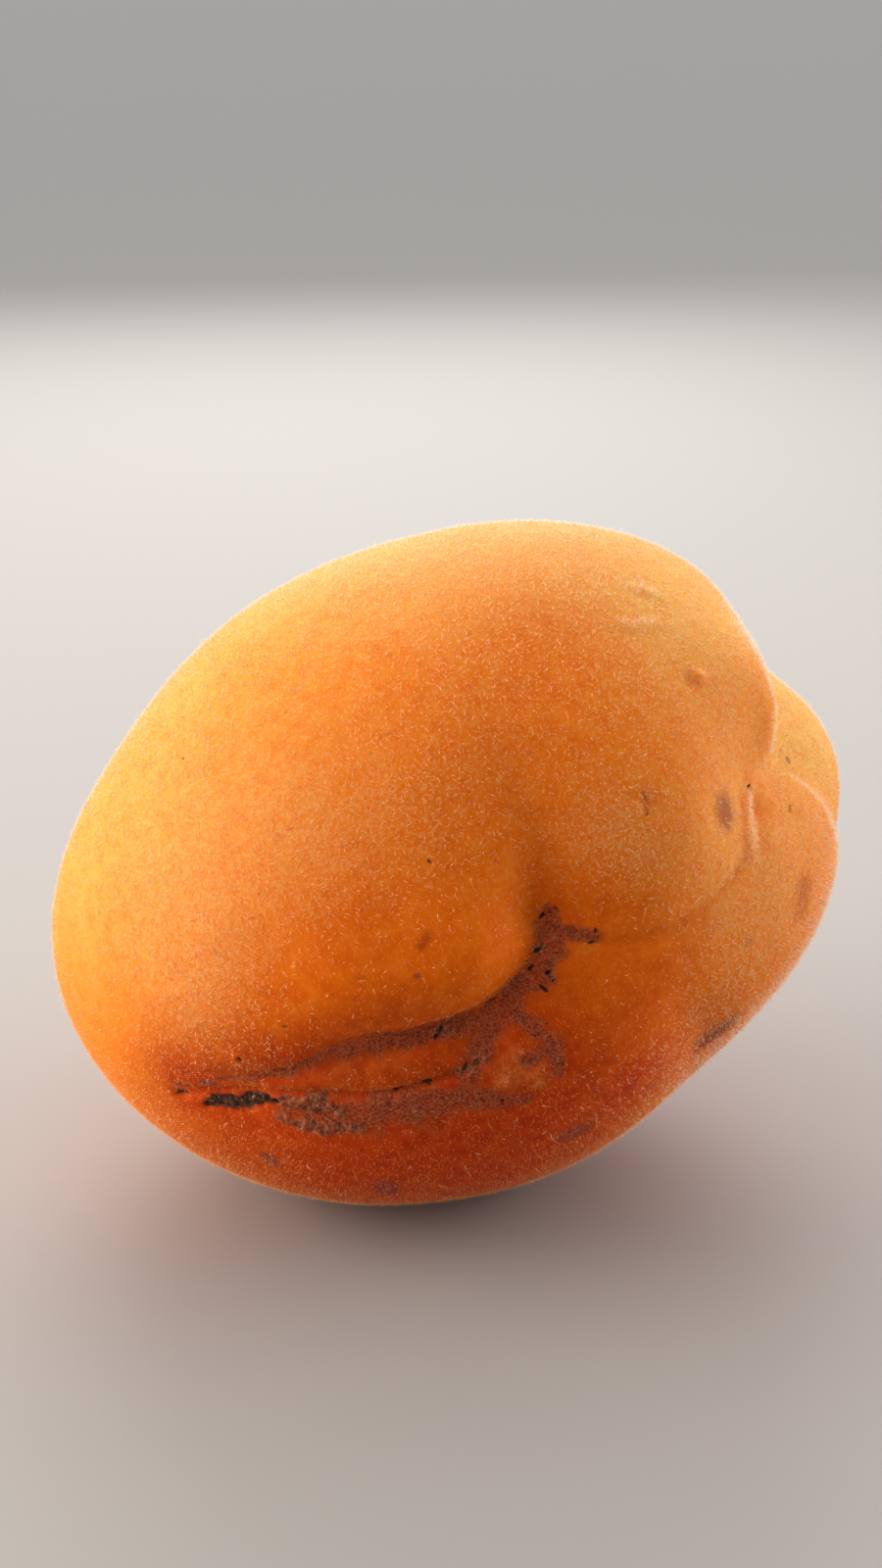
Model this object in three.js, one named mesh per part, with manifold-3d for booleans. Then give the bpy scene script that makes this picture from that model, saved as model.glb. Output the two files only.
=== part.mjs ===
// A ripe apricot lying on its side: one solid fruit with a deep seam across its front, a hollow where the
// seam turns, four uneven lobes that crowd together on the right, and the stalk cavity behind them.
//
// Millimetres, +Z up. The origin is on the surface the fruit lies on, under the middle of its bounding box.
// The fruit's surface is a radius worked out for every direction from its middle: an ellipsoid, raised by
// round swellings and cut by grooves. Directions are bearings: [azimuth, elevation] in degrees, where
// azimuth 0 is the front of the fruit, 90 its right-hand side and 180 its back, before it is laid down.
import * as THREE from "three";
import { mergeVertices } from "three/addons/utils/BufferGeometryUtils.js";
import Module from "manifold-3d";

// Driving dimensions.
const halfLength = 27.3; // middle to either end of the long axis
const halfHeight = 22.2; // middle to the edge, across the long axis and up
const halfDepth = 22.6; // middle to the front or the back
const axisRise = 20; // degrees by which the long axis rises to the right
const layBack = 24; // degrees by which the fruit leans back as it lies
const flatSpotDepth = 0.7; // what the resting spot takes off the round underside
const skinColour = 0xe8851c;

// Where the grooves meet.
const hollow = [16, -8]; // the deep end of the seam
const crossing = [59, 14]; // between the right-hand lobes
const stalkCavity = [108, 42];

// Each swelling is a round rise of the skin, or a flat or a dip where its rise is below zero.
const swellings = [
  { name: "flat above the left end", at: [-80, 22], spread: 25, rise: -1.1 },
  { name: "left end", at: [-82, -14], spread: 14, rise: 0.3 },
  { name: "flat below the right end", at: [78, -35], spread: 26, rise: -1.1 },
  { name: "top right shoulder", at: [55, 60], spread: 26, rise: 1.1 },
  { name: "corner of the upper left lobe", at: [5, -14], spread: 10, rise: 1.0 },
  { name: "lower edge of the upper left lobe", at: [-14, -21], spread: 12, rise: 0.5 },
  { name: "upper right lobe", at: [38, 12], spread: 16, rise: 0.8 },
  { name: "lip of the upper right lobe", at: [57, 27], spread: 11, rise: 1.1 },
  { name: "right lobe", at: [66, -4], spread: 15, rise: 0.8 },
  { name: "upper edge of the right lobe", at: [69, 7], spread: 8, rise: 0.5 },
  { name: "rear right lobe", at: [82, 16], spread: 13, rise: 0.7 },
  { name: "flat above the rear right lobe", at: [87, 32], spread: 8, rise: -0.9 },
  { name: "lower lobe", at: [27, -34], spread: 18, rise: 0.4 },
  { name: "underside, right of the middle", at: [150, -64], spread: 15, rise: 0.5 },
  { name: "back, upper half", at: [-165, 28], spread: 24, rise: 0.6 },
  { name: "back, flat of the lower half", at: [-140, -30], spread: 22, rise: -0.7 },
  { name: "shoulder round the stalk cavity", at: stalkCavity, spread: 24, rise: 0.9 },
  { name: "stalk cavity", at: stalkCavity, spread: 9, rise: -4.6 },
];

// A groove runs through points [azimuth, elevation, depth]. Its two walls have widths of their own, on the
// left and on the right of someone who walks along it.
const grooves = [
  {
    name: "seam, under the upper left lobe",
    path: [
      [-58, -34, 0.2],
      [-50, -34, 0.7],
      [-42, -34.5, 1.0],
      [-34, -34, 1.1],
      [-26, -32.5, 1.3],
      [-18, -29.5, 1.6],
      [-10, -28, 1.9],
      [-2, -27, 2.3],
      [5, -24.5, 2.8],
      [10, -21, 3.2],
      [13.5, -17, 3.5],
      [15.5, -12, 3.5],
      [...hollow, 3.0],
      [16, -4, 1.9],
    ],
    left: 1.8,
    right: 3.2,
  },
  {
    name: "seam, above the lower lobe",
    path: [
      [-54, -35.5, 0.3],
      [-44, -37, 0.8],
      [-34, -37.5, 0.9],
      [-24, -37.5, 0.9],
      [-12, -36.5, 0.8],
      [-4, -34.5, 0.8],
      [3, -32, 0.8],
      [8, -28.5, 1.0],
      [11, -24, 1.2],
    ],
    left: 1.5,
    right: 3.4,
  },
  {
    name: "valley between the upper lobes",
    path: [
      [...hollow, 2.6],
      [14, -2, 2.0],
      [13, 4, 1.4],
      [11, 12, 0.8],
      [9, 20, 0.3],
    ],
    left: 4,
    right: 5,
  },
  {
    name: "crease under the upper right lobe",
    path: [
      [...hollow, 2.6],
      [22, -11, 1.8],
      [28, -11, 1.2],
      [36, -9, 0.9],
      [45, -3, 0.9],
      [49, 3, 1.2],
      [50, 9, 1.6],
      [53, 13, 1.8],
      [...crossing, 1.8],
    ],
    left: 3,
    right: 3.5,
  },
  {
    name: "crease behind the upper right lobe, into the stalk cavity",
    path: [
      [...crossing, 1.8],
      [63, 18, 2.2],
      [66, 24, 2.4],
      [71, 31, 2.2],
      [80, 38, 2.0],
      [92, 42, 2.0],
      [...stalkCavity, 2.4],
    ],
    left: 2.2,
    right: 5,
  },
  {
    name: "crease between the right lobes",
    path: [
      [...crossing, 1.8],
      [62, 15, 2.0],
      [65, 15, 2.1],
      [68, 14, 2.0],
      [72, 11.5, 1.8],
      [77, 8, 1.3],
      [88, 1, 0.4],
    ],
    left: 3,
    right: 1.7,
  },
  {
    name: "valley below the right lobe",
    path: [
      [39, -11, 0.1],
      [43, -18, 0.5],
      [47, -23, 0.9],
      [54, -27, 1.2],
      [64, -32, 1.0],
      [80, -40, 0.3],
    ],
    left: 3.5,
    right: 3.5,
  },
];
const wallCurve = 1.4; // 1 makes the bottom of a groove a sharp V, and 2 rounds it

// The facets.
const facetRows = 23; // rows of triangles added across each face of an icosahedron
const finestAt = [12, -15]; // the facets are smallest about this bearing, in the middle of the grooves
const fineness = 0.4; // 0 spaces the facets evenly
const grooveSteps = 12; // steps between two points of a groove's path

function bearing([azimuth, elevation]) {
  const a = THREE.MathUtils.degToRad(azimuth);
  const e = THREE.MathUtils.degToRad(elevation);
  return new THREE.Vector3(Math.sin(a) * Math.cos(e), -Math.cos(a) * Math.cos(e), Math.sin(e));
}

const longAxis = bearing([90, axisRise]);
const depthAxis = new THREE.Vector3(0, 1, 0);
const crossAxis = new THREE.Vector3().crossVectors(longAxis, depthAxis);

function ellipsoidRadius(direction) {
  const along = direction.dot(longAxis) / halfLength;
  const across = direction.dot(crossAxis) / halfHeight;
  const deep = direction.dot(depthAxis) / halfDepth;
  return 1 / Math.hypot(along, across, deep);
}

// Turns an angle at the middle into a length along the skin.
const meanRadius = Math.cbrt(halfLength * halfHeight * halfDepth);

const bumps = swellings.map((swelling) => ({
  centre: bearing(swelling.at),
  spread: THREE.MathUtils.degToRad(swelling.spread),
  rise: swelling.rise,
}));

// The groove's route as short steps, each with its bearing, its depth and the way to its left-hand wall.
function stepsOf(groove) {
  const curve = new THREE.CatmullRomCurve3(groove.path.map(bearing));
  const spans = groove.path.length - 1;
  const count = spans * grooveSteps;
  return Array.from({ length: count + 1 }, (_, i) => {
    const t = i / count;
    const at = curve.getPoint(t).normalize();
    const leftwards = new THREE.Vector3().crossVectors(at, curve.getTangent(t)).normalize();
    const span = Math.min(Math.floor(t * spans), spans - 1);
    const depth = THREE.MathUtils.lerp(groove.path[span][2], groove.path[span + 1][2], t * spans - span);
    return { at, leftwards, depth };
  });
}

const cuts = grooves.map((groove) => ({ ...groove, steps: stepsOf(groove) }));

function depthOf(cut, direction) {
  let nearest = cut.steps[0];
  for (const step of cut.steps) {
    if (step.at.dot(direction) > nearest.at.dot(direction)) nearest = step;
  }
  const distance = nearest.at.angleTo(direction) * meanRadius;
  const width = direction.dot(nearest.leftwards) > 0 ? cut.left : cut.right;
  return nearest.depth * Math.exp(-((distance / width) ** wallCurve));
}

function radiusAt(direction) {
  let radius = ellipsoidRadius(direction);
  for (const bump of bumps) {
    radius += bump.rise * Math.exp(-((direction.angleTo(bump.centre) / bump.spread) ** 2));
  }
  // Where grooves meet, the deepest counts for most, so that they don't add up.
  const cubes = cuts.map((cut) => depthOf(cut, direction) ** 3);
  return radius - Math.cbrt(cubes.reduce((sum, cube) => sum + cube, 0));
}

const fineAxis = bearing(finestAt);

// Draws a direction towards the fine side, so that more facets fall there.
function drawnToFineSide(direction) {
  const turnAxis = new THREE.Vector3().crossVectors(direction, fineAxis).normalize();
  return direction.applyAxisAngle(turnAxis, fineness * Math.sin(direction.angleTo(fineAxis)));
}

// A geometry with its shared corners merged, which holds only their positions.
function merged(geometry) {
  geometry.deleteAttribute("normal");
  geometry.deleteAttribute("uv");
  return mergeVertices(geometry, 1e-5);
}

function roundFruit() {
  const geometry = merged(new THREE.IcosahedronGeometry(1, facetRows));
  const position = geometry.getAttribute("position");
  const direction = new THREE.Vector3();
  for (let i = 0; i < position.count; i++) {
    drawnToFineSide(direction.fromBufferAttribute(position, i).normalize());
    direction.multiplyScalar(radiusAt(direction));
    position.setXYZ(i, direction.x, direction.y, direction.z);
  }
  return geometry;
}

// Leans the fruit back and sets it over the origin, sunk by the depth of the resting spot.
function laidDown(geometry) {
  geometry.rotateX(THREE.MathUtils.degToRad(-layBack));
  geometry.computeBoundingBox();
  const { min, max } = geometry.boundingBox;
  return geometry.translate(-(min.x + max.x) / 2, -(min.y + max.y) / 2, -min.z - flatSpotDepth);
}

const wasm = await Module();
wasm.setup();

function solidOf(geometry) {
  return new wasm.Manifold(
    new wasm.Mesh({
      numProp: 3,
      vertProperties: geometry.getAttribute("position").array,
      triVerts: geometry.getIndex().array,
    }),
  );
}

function geometryOf(solid) {
  const mesh = solid.getMesh();
  const geometry = new THREE.BufferGeometry();
  geometry.setAttribute("position", new THREE.BufferAttribute(mesh.vertProperties, 3));
  geometry.setIndex(new THREE.BufferAttribute(mesh.triVerts, 1));
  geometry.computeVertexNormals();
  return geometry;
}

// Cuts off what reaches below the surface that the fruit lies on, which leaves the flat resting spot.
function withFlatSpot(geometry) {
  const side = 2 * halfLength;
  const ground = merged(new THREE.BoxGeometry(side, side, side)).translate(0, 0, -side / 2);
  return geometryOf(solidOf(geometry).subtract(solidOf(ground)));
}

const apricot = new THREE.Mesh(
  withFlatSpot(laidDown(roundFruit())),
  new THREE.MeshStandardMaterial({ color: skinColour, roughness: 0.65, metalness: 0 }),
);
apricot.name = "apricot";

const fruit = new THREE.Group();
fruit.add(apricot);

export default fruit;
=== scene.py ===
import math
import random

import bpy
import numpy as np
from mathutils import Matrix, Vector, noise
from mathutils.bvhtree import BVHTree


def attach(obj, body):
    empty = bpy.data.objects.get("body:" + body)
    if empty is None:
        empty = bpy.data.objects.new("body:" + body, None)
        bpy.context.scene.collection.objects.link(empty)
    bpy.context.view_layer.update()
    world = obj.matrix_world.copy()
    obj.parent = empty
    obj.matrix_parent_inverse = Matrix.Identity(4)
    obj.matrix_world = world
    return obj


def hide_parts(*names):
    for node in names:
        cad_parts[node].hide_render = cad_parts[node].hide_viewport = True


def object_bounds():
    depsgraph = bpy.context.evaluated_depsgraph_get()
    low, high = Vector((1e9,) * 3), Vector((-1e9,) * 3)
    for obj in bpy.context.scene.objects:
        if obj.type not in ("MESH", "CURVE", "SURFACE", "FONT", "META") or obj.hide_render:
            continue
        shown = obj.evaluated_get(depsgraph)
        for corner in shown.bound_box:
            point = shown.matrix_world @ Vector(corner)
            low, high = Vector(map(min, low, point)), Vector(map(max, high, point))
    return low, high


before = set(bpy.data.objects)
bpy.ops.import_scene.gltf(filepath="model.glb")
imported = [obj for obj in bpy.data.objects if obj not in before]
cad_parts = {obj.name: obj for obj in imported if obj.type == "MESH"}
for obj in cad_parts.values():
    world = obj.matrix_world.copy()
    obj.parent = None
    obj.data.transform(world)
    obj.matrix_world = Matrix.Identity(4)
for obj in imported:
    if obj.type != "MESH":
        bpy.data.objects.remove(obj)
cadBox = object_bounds()
mm = 0.001
boxMiddle = (cadBox[0] + cadBox[1]) / 2
print("frame loaded: fruit of", [round(side / mm, 1) for side in cadBox[1] - cadBox[0]], "mm")


def linear(hexColour):
    shares = [int(hexColour[i : i + 2], 16) / 255 for i in (1, 3, 5)]
    return [s / 12.92 if s <= 0.04045 else ((s + 0.055) / 1.055) ** 2.4 for s in shares] + [1]


# Adds a node. A setting is a socket's value or a property of the node, and a link is a socket and its source.
def addNode(tree, kind, settings=None, links=None):
    added = tree.nodes.new(kind)
    for name, value in (settings or {}).items():
        if isinstance(name, int) or name in added.inputs:
            added.inputs[name].default_value = value
        else:
            setattr(added, name, value)
    for name, source in (links or {}).items():
        tree.links.new(source, added.inputs[name])
    return added


def selectOnly(thing):
    bpy.ops.object.select_all(action="DESELECT")
    thing.select_set(True)
    bpy.context.view_layer.objects.active = thing


def applyModifier(thing, kind, **settings):
    selectOnly(thing)
    bpy.ops.object.modifier_add(type=kind)
    modifier = thing.modifiers[-1]
    for name, value in settings.items():
        setattr(modifier, name, value)
    bpy.ops.object.modifier_apply(modifier=modifier.name)


view = {
    "wide": 900,  # pixels; every x and y in this script is in a frame of this size
    "high": 1600,
    "aimX": 456,  # the pixel on which the middle of the fruit's box falls
    "aimY": 875,
    "lens": 50,
    "film": 36,  # on the long side
    "distance": 150 * mm,
    "elevation": 23.7,  # degrees
    "nearest": 5 * mm,  # what is closer to the camera doesn't show
}
view["focal"] = view["lens"] / view["film"] * view["high"]  # pixels


def placeCamera():
    elevation = math.radians(view["elevation"])
    pitch = elevation - math.atan((view["aimY"] - view["high"] / 2) / view["focal"])
    back = Vector((0, -math.cos(elevation), math.sin(elevation)))
    aside = (view["aimX"] - view["wide"] / 2) / view["focal"] * view["distance"]
    place = boxMiddle + back * view["distance"] - Vector((aside, 0, 0))
    bpy.ops.object.camera_add(location=place, rotation=(math.pi / 2 - pitch, 0, 0))
    camera = bpy.context.object
    camera.name = "camera"
    camera.data.lens = view["lens"]
    camera.data.sensor_width = view["film"]
    camera.data.clip_start = view["nearest"]
    bpy.context.scene.camera = camera
    bpy.context.view_layer.update()
    return camera


camera = placeCamera()

studio = {
    "floor": "#a8a39d",
    "floorSide": 40,  # metres, so that it reaches the horizon
    "floorRoughness": 0.8,
    "sky": "#f2f4f8",
    "skyTop": (-0.28, 0.60, 0.75),  # where the soft sky is brightest
    "brightest": 1.2,
    "darkest": 0.155,
    "darkestAt": -0.6,  # the cosine of the angle from the brightest place
    "lights": [  # name, place in mm, size in mm, watts, colour
        ("leftSoft", (-275, -20, 90), 200, 0.86, "#fff4e6"),
        ("rightSoft", (260, 40, 80), 180, 0.43, "#fff8f2"),
        ("backSoft", (-30, 280, 200), 240, 0.7, "#ffffff"),
    ],
}


# A plain pale floor.
def layFloor():
    bpy.ops.mesh.primitive_plane_add(size=studio["floorSide"])
    floor = bpy.context.object
    floor.name = "floor"
    painted = bpy.data.materials.new("matt painted board")
    painted.use_nodes = True
    shader = painted.node_tree.nodes["Principled BSDF"]
    shader.inputs["Base Color"].default_value = linear(studio["floor"])
    shader.inputs["Roughness"].default_value = studio["floorRoughness"]
    floor.data.materials.append(painted)


# A soft sky that is brightest behind and to the left.
def makeSky():
    world = bpy.data.worlds.new("studio")
    world.use_nodes = True
    tree = world.node_tree
    coords = addNode(tree, "ShaderNodeTexCoord")
    facing = addNode(
        tree,
        "ShaderNodeVectorMath",
        {"operation": "DOT_PRODUCT", 1: studio["skyTop"]},
        {0: coords.outputs["Generated"]},
    )
    strength = addNode(
        tree,
        "ShaderNodeMapRange",
        {
            "interpolation_type": "SMOOTHSTEP",
            "From Min": studio["darkestAt"],
            "From Max": 1,
            "To Min": studio["darkest"],
            "To Max": studio["brightest"],
        },
        {"Value": facing.outputs["Value"]},
    )
    background = tree.nodes["Background"]
    background.inputs["Color"].default_value = linear(studio["sky"])
    tree.links.new(strength.outputs[0], background.inputs["Strength"])
    bpy.context.scene.world = world


def placeLights():
    for name, place, size, watts, colour in studio["lights"]:
        place = Vector(place) * mm
        aim = (boxMiddle - place).to_track_quat("-Z", "Y").to_euler()
        bpy.ops.object.light_add(type="AREA", location=place, rotation=aim)
        light = bpy.context.object
        light.name = name
        light.data.size = size * mm
        light.data.energy = watts
        light.data.color = linear(colour)[:3]


layFloor()
makeSky()
placeLights()
bpy.context.scene.view_settings.view_transform = "Standard"
print("camera and studio placed")

skinForm = {
    "voxel": 0.50 * mm,
    "smoothing": {"factor": 0.5, "iterations": 4},
    "smoothingWhenFiner": {"factor": 0.5, "iterations": 2},
    "finerWithin": (1.4, 0.35),  # mm of the marks, each time that the sides of the faces are halved
    "foldReach": 6,  # mm from its path, past which a fold does nothing
    # The length of each wave in mm and its height: in mm for the skin's soft rises, and as a share for how
    # the edges of marks stray and for the crumbs on dry scars.
    "rises": ((9, 0.10), (2.6, 0.025)),
    "stray": ((1.3, 1), (0.5, 0.6)),
    "crumbs": ((0.5, 1), (0.25, 0.7)),
}


def roundedSkin():
    skin = bpy.data.objects.new("skin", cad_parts["apricot"].data.copy())
    skin.data.materials.clear()
    bpy.context.scene.collection.objects.link(skin)
    selectOnly(skin)
    bpy.ops.object.mode_set(mode="EDIT")
    bpy.ops.mesh.select_all(action="SELECT")
    bpy.ops.mesh.remove_doubles(threshold=0.001 * mm)
    bpy.ops.object.mode_set(mode="OBJECT")
    applyModifier(skin, "REMESH", mode="VOXEL", voxel_size=skinForm["voxel"])
    applyModifier(skin, "SMOOTH", **skinForm["smoothing"])
    return skin


skin = roundedSkin()
print("skin remeshed:", len(skin.data.polygons), "faces")


def rowsOf(collection, name):
    flat = np.empty(len(collection) * 3, np.float32)
    collection.foreach_get(name, flat)
    return flat.reshape(-1, 3).astype(float)


corners = [vertex.co for vertex in skin.data.vertices]
smoothSkin = BVHTree.FromPolygons(corners, [face.vertices for face in skin.data.polygons])


# The place on the skin that the camera sees at a pixel, and the length of a pixel there.
def atPixel(x, y):
    across = (x - view["wide"] / 2) / view["focal"]
    down = (y - view["high"] / 2) / view["focal"]
    ray = camera.matrix_world.to_3x3() @ Vector((across, -down, -1))
    place, _, _, reach = smoothSkin.ray_cast(camera.location, ray.normalized())
    if place is None:
        raise ValueError(f"pixel {x}, {y} is off the fruit")
    return place, reach / ray.length / view["focal"]


outside = 60  # mm from the fruit's middle to a point well outside the fruit
hiddenPixel = mm / 15  # the length that stands for a pixel where the camera doesn't look


# The place on the skin in a direction from the fruit's middle. Azimuth 0 is the front and 90 the right.
def atBearing(azimuth, elevation):
    a, e = math.radians(azimuth), math.radians(elevation)
    out = Vector((math.sin(a) * math.cos(e), -math.cos(a) * math.cos(e), math.sin(e)))
    return smoothSkin.ray_cast(boxMiddle + out * outside * mm, -out)[0], hiddenPixel


# A path over the skin. It tells how far each point is from it, which side the point is on, and the path's
# own amount beside it. Its points are x, y and an amount, or azimuth, elevation and an amount where hidden.
class Path:
    def __init__(self, points, find=atPixel):
        placed = [find(first, second) for first, second, _ in points]
        self.knots = np.array([place for place, _ in placed])
        self.amounts = np.array([amount for _, _, amount in points], float)
        self.pixels = np.array([pixel for _, pixel in placed])

    def measure(self, points, normals=None):
        nearest = np.full(len(points), np.inf)
        amount = np.zeros(len(points))
        pixel = np.zeros(len(points))
        side = np.zeros(len(points))
        for i in range(len(self.knots) - 1):
            start, step = self.knots[i], self.knots[i + 1] - self.knots[i]
            length = np.linalg.norm(step)
            share = np.clip((points - start) @ step / length**2, 0, 1)
            offset = points - start - share[:, None] * step
            distance = np.linalg.norm(offset, axis=1)
            closer = distance < nearest
            nearest = np.where(closer, distance, nearest)
            here = self.amounts[i] + share * (self.amounts[i + 1] - self.amounts[i])
            amount = np.where(closer, here, amount)
            pixel = np.where(closer, self.pixels[i], pixel)
            if normals is not None:
                upward = np.cross(normals, step / length)
                side = np.where(closer, np.einsum("ij,ij->i", offset, upward), side)
        return nearest, amount, pixel, np.sign(side)


def hill(distance, width):
    return np.exp(-((distance / width) ** 2))


def smoothstep(low, high, value):
    share = np.clip((value - low) / (high - low), 0, 1)
    return share * share * (3 - 2 * share)


# Folds finer than the solid's own. A path's third number is how strong the fold is there. A profile is a row
# of offset to the path's left, width and rise, in mm.
folds = {
    "lip of the upper left lobe": {
        "path": [
            (172, 1106, 0.1),
            (186, 1103, 0.3),
            (219, 1101, 0.5),
            (251, 1092, 0.55),
            (296, 1090, 0.6),
            (324, 1076, 0.6),
            (346, 1062, 0.5),
            (374, 1054, 0.55),
            (416, 1053, 0.7),
            (437, 1044, 0.9),
            (472, 1033, 1.0),
            (503, 1020, 1.0),
            (524, 1001, 1.0),
            (538, 982, 0.9),
            (547, 960, 0.7),
            (553, 936, 0.35),
            (556, 915, 0.1),
        ],
        "profile": [(1.1, 0.8, 0.22), (-0.2, 0.30, -0.22)],
    },
    "crease over the lower lobe": {
        "path": [
            (184, 1115, 0.3),
            (205, 1112, 0.8),
            (250, 1110, 1.0),
            (280, 1113, 1.0),
            (310, 1114, 0.8),
            (345, 1115, 0.8),
            (380, 1117, 0.9),
            (407, 1113, 1.0),
            (433, 1105, 1.0),
            (473, 1092, 0.8),
            (488, 1085, 0.4),
        ],
        "profile": [(0, 0.24, -0.24), (-0.7, 0.5, 0.14), (0.8, 0.5, 0.20)],
    },
    "inner ridge": {
        "path": [
            (250, 1102, 0.2),
            (300, 1103, 0.5),
            (350, 1095, 0.8),
            (400, 1088, 1),
            (440, 1075, 1),
            (470, 1062, 0.6),
        ],
        "profile": [(0, 0.75, 0.30)],
    },
    "crease above the inner ridge": {
        "path": [(330, 1088, 0.2), (370, 1077, 0.8), (410, 1070, 1), (440, 1060, 0.5)],
        "profile": [(0, 0.3, -0.16)],
    },
    "beside the speck": {
        "path": [(767, 786, 0.3), (764, 804, 1.0), (763, 825, 1.0), (765, 850, 0.9), (767, 880, 0.3)],
        "profile": [(0, 0.4, 0.16), (0.9, 0.6, -0.18)],
    },
    "under the upper right lobe": {
        "path": [
            (572, 950, 0.4),
            (600, 962, 0.8),
            (640, 962, 1),
            (689, 945, 1),
            (740, 905, 0.9),
            (763, 872, 0.6),
        ],
        "profile": [(0, 0.45, -0.22), (0.8, 0.7, 0.14)],
    },
    "rim of the upper right lobe": {
        "path": [(779, 692, 0.3), (783, 715, 0.8), (782, 740, 1), (778, 762, 1), (770, 784, 0.5)],
        "profile": [(0, 1.1, 0.40)],
    },
    "valley above the hollow": {
        "path": [(556, 915, 1), (549, 880, 0.8), (545, 850, 0.6), (532, 800, 0.35), (515, 755, 0.15)],
        "profile": [(0, 1.6, -0.30)],
    },
    "edge of the right lobe": {
        "path": [(803, 790, 0.4), (822, 803, 1), (839, 822, 1), (850, 848, 0.6)],
        "profile": [(-0.4, 0.5, 0.18), (0.5, 0.4, -0.20)],
    },
    "long ridge near the top": {
        "path": [(628, 637, 0.3), (645, 639, 1), (665, 636, 1), (684, 637, 0.3)],
        "profile": [(0, 0.4, 0.10), (-0.8, 0.5, -0.06)],
    },
    "short ridge near the top": {
        "path": [(636, 597, 0.2), (655, 601, 1), (672, 609, 1), (685, 615, 0.2)],
        "profile": [(0, 0.4, 0.10), (-0.8, 0.5, -0.06)],
    },
    "wrinkle at the lower right": {
        "path": [(700, 1085, 0.4), (716, 1064, 1), (735, 1047, 1), (752, 1040, 0.4)],
        "profile": [(0, 0.4, -0.08), (0.7, 0.4, 0.06)],
    },
}

# Small rises and dents: x, y, radius in pixels and rise in mm.
spots = {
    "hollow": (568, 942, 24, -0.2),
    "wart's ring": (244.5, 1080, 7, 0.16),
    "wart's hole": (244.5, 1080, 3, -0.30),
    "dent": (660, 820, 9, -0.30),
    "dent's left edge": (651, 822, 6, 0.10),
    "pimple": (714, 690, 7, 0.36),
    "hollow by the pimple": (705, 694, 7, -0.2),
    "hollow behind the speck": (777, 822, 17, -0.42),
    "speck's pit": (764, 805, 4, -0.25),
    "ring's lump 1": (516, 1103, 9, 0.20),
    "ring's lump 2": (524, 1074, 10, 0.18),
    "ring's lump 3": (548, 1100, 11, 0.16),
    "ring's dimple": (540, 1084, 8, -0.20),
    "tip": (185, 1116, 6, -0.25),
}
hiddenSpots = {  # azimuth, elevation, radius in fifteenths of a mm and rise in mm
    "hollow round the stalk scar": (124.3, 31.2, 34, -0.35),
    "stalk scar": (124.3, 31.2, 19, 0.45),
    "middle of the stalk scar": (124.3, 31.2, 8, -0.30),
    "dent on the back": (169, 16, 20, -0.15),
    "dimple at the tip of the seam": (262, -14, 14, -0.18),
}

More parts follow.
